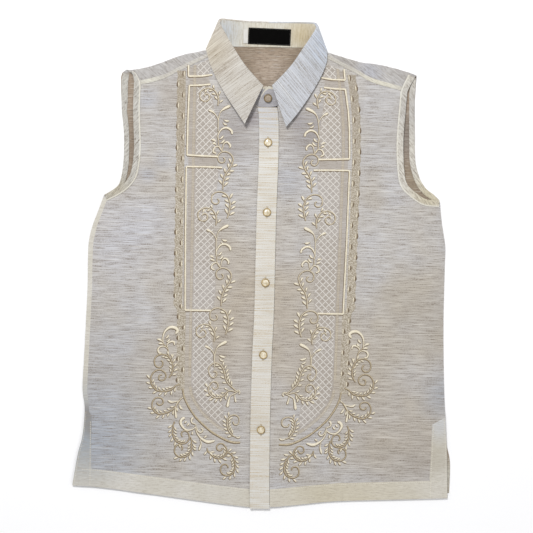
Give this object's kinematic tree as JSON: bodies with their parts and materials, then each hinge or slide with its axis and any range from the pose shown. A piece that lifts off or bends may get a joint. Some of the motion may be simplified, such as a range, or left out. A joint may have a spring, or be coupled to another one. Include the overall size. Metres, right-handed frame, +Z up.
{
  "type": "sleeveless barong tagalog shirt laid flat",
  "caption": "Sleeveless barong tagalog shirt laid flat, front up, with a pointed collar, buttoned band, bound armholes and side slits.",
  "frame": {"origin": "on the surface that the shirt lies on, below the middle of its box", "axes": "+Z up from that surface, +Y from the hem to the collar, +X to the wearer's left"},
  "size_m": [0.5668, 0.7347, 0.0191],
  "materials": {
    "cloth": "sheer slubbed plain weave with embroidery",
    "band": "folded slubbed weave, opaque",
    "collar": "interlined slubbed weave",
    "binding": "slubbed weave cut on the bias",
    "button": "pearly, gold-brown rim",
    "label": "dense black satin weave, bare",
    "tab": "white satin tape, bare"
  },
  "bodies": {
    "root": {"back_panel": "cloth", "yoke": "cloth", "front_right": "cloth", "front_left": "cloth", "placket": "band", "collar_stand": "collar", "collar_fall": "collar", "armhole_binding_right_front": "binding", "armhole_binding_right_back": "binding", "armhole_binding_left_front": "binding", "armhole_binding_left_back": "binding", "button_1": "button", "button_2": "button", "button_3": "button", "button_4": "button", "button_5": "button", "button_6": "button", "neck_label": "label", "size_tab": "tab"}
  },
  "joints": []
}
